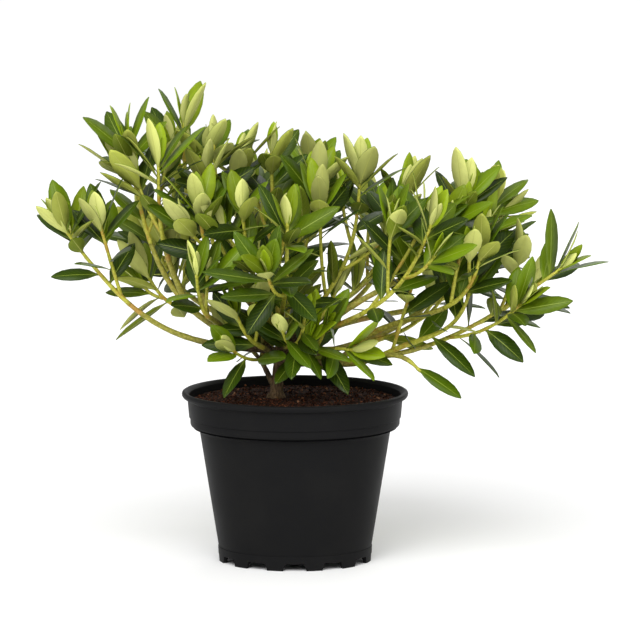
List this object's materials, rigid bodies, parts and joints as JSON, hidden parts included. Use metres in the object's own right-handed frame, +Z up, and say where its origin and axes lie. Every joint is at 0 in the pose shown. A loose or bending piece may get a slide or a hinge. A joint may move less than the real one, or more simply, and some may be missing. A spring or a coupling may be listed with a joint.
{
  "type": "rhododendron",
  "caption": "Small evergreen rhododendron shrub with low spreading boughs and rosettes of oval leaves, growing in a round black nursery pot on short feet.",
  "frame": {"origin": "in the middle of the whole plant's box, in the plane of the undersides of the pot's feet", "axes": "+Z up; +X to the right and +Y away from the viewer, as the plant is seen in the picture"},
  "size_m": [0.4848, 0.3762, 0.4079],
  "materials": {
    "black_plastic": "smooth moulded, faint sheen",
    "peat": "loose, damp and crumbly",
    "bark": "rough brown bark",
    "green_wood": "smooth young wood, yellow-green",
    "foliage": "leathery, satin upper side and pale underside"
  },
  "bodies": {
    "root": {"pot": "black_plastic", "soil": "peat", "trunk": "bark", "bough_far_left": "green_wood", "foliage_far_left": "foliage", "bough_left": "green_wood", "foliage_left": "foliage", "bough_left_front": "green_wood", "foliage_left_front": "foliage", "bough_left_inner": "green_wood", "foliage_left_inner": "foliage", "bough_left_middle": "green_wood", "foliage_left_middle": "foliage", "bough_left_under": "green_wood", "foliage_left_under": "foliage", "bough_upper_left": "green_wood", "foliage_upper_left": "foliage", "bough_upper_left_front": "green_wood", "foliage_upper_left_front": "foliage", "foliage_upper_centre": "foliage", "bough_centre_left": "green_wood", "foliage_centre_left": "foliage", "foliage_front": "foliage", "foliage_back_centre": "foliage", "bough_upper_right": "green_wood", "foliage_upper_right": "foliage", "bough_centre_right": "green_wood", "foliage_centre_right": "foliage", "bough_right": "green_wood", "foliage_right": "foliage", "bough_right_upper": "green_wood", "foliage_right_upper": "foliage", "bough_lower_right": "green_wood", "foliage_lower_right": "foliage", "bough_lower_right_front": "green_wood", "foliage_lower_right_front": "foliage", "bough_far_right": "green_wood", "foliage_far_right": "foliage", "bough_right_under": "green_wood", "foliage_right_under": "foliage", "bough_right_low": "green_wood", "foliage_right_low": "foliage", "foliage_right_fork": "foliage", "bough_back_left": "green_wood", "foliage_back_left": "foliage", "bough_back": "green_wood", "foliage_back": "foliage", "bough_back_right": "green_wood", "foliage_back_right": "foliage", "bough_right_back": "green_wood", "foliage_right_back": "foliage", "bough_left_back": "green_wood", "foliage_left_back": "foliage", "foliage_low_right": "foliage", "bough_low_left": "green_wood", "foliage_low_left": "foliage", "foliage_low_front": "foliage", "foliage_low_front_left": "foliage", "foliage_low_middle": "foliage", "foliage_low_back": "foliage"}
  },
  "joints": []
}
